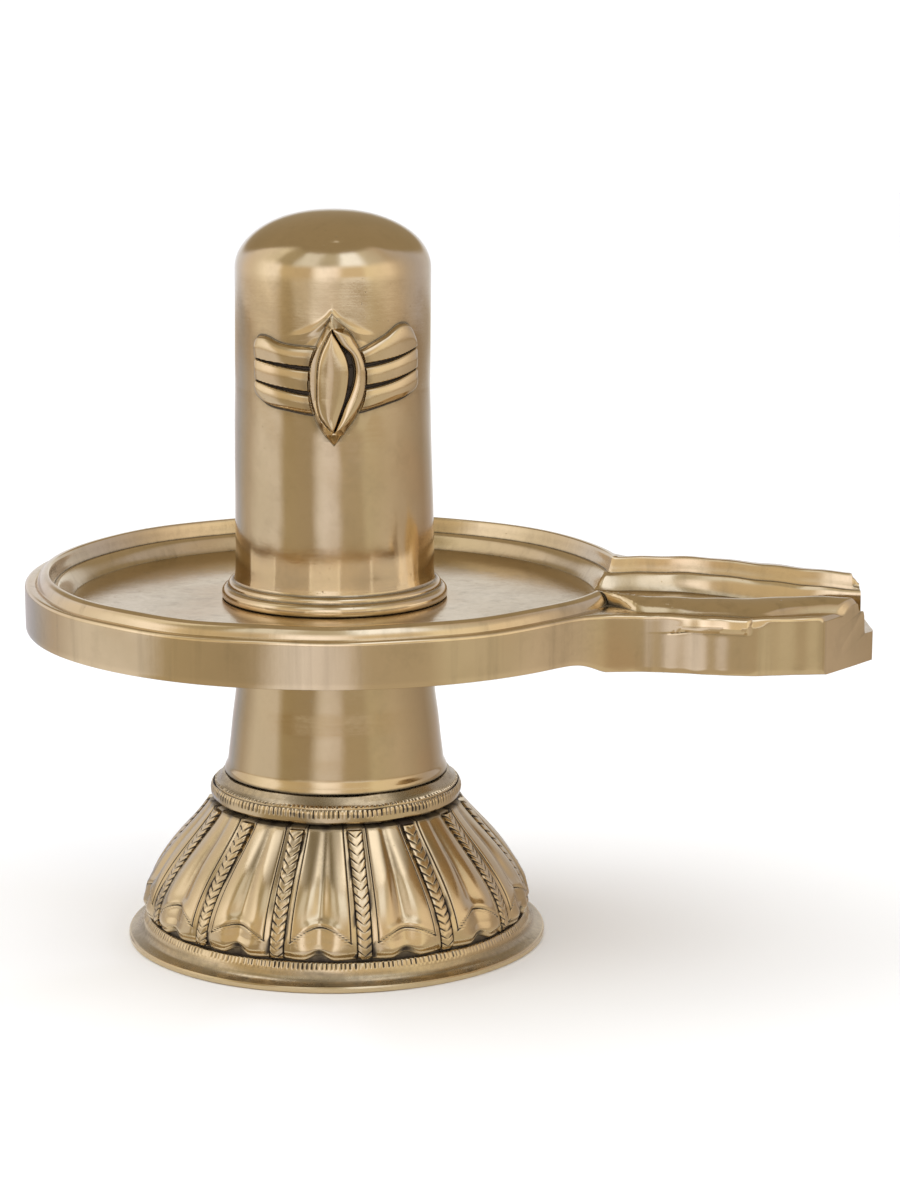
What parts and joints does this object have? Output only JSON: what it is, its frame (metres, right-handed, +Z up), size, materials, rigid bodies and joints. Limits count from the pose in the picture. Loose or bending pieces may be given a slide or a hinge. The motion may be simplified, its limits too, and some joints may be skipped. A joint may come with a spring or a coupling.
{
  "type": "brass shiva lingam",
  "caption": "Cast brass Shiva lingam standing in a round basin with a drain spout, on a plain stem and a lotus pedestal.",
  "frame": {"origin": "middle of the pedestal's flat underside, on the common axis of pedestal, stem, basin and shaft", "axes": "+Z up along that axis, +X along the spout, and the mark on the shaft faces -Y turned about 11 degrees towards +X"},
  "size_m": [0.3802, 0.2774, 0.33],
  "materials": {
    "shaft_brass": "satin cast brass, wiped bright, dark patina in the relief",
    "tray_brass": "satin cast brass, brushed apron, bright basin floor",
    "stem_brass": "satin cast brass with fine turning marks",
    "pedestal_brass": "polished cast brass with black-brown patina in the recesses"
  },
  "bodies": {
    "root": {"lingam": "shaft_brass", "yoni_tray": "tray_brass", "stem": "stem_brass", "pedestal": "pedestal_brass"}
  },
  "joints": []
}
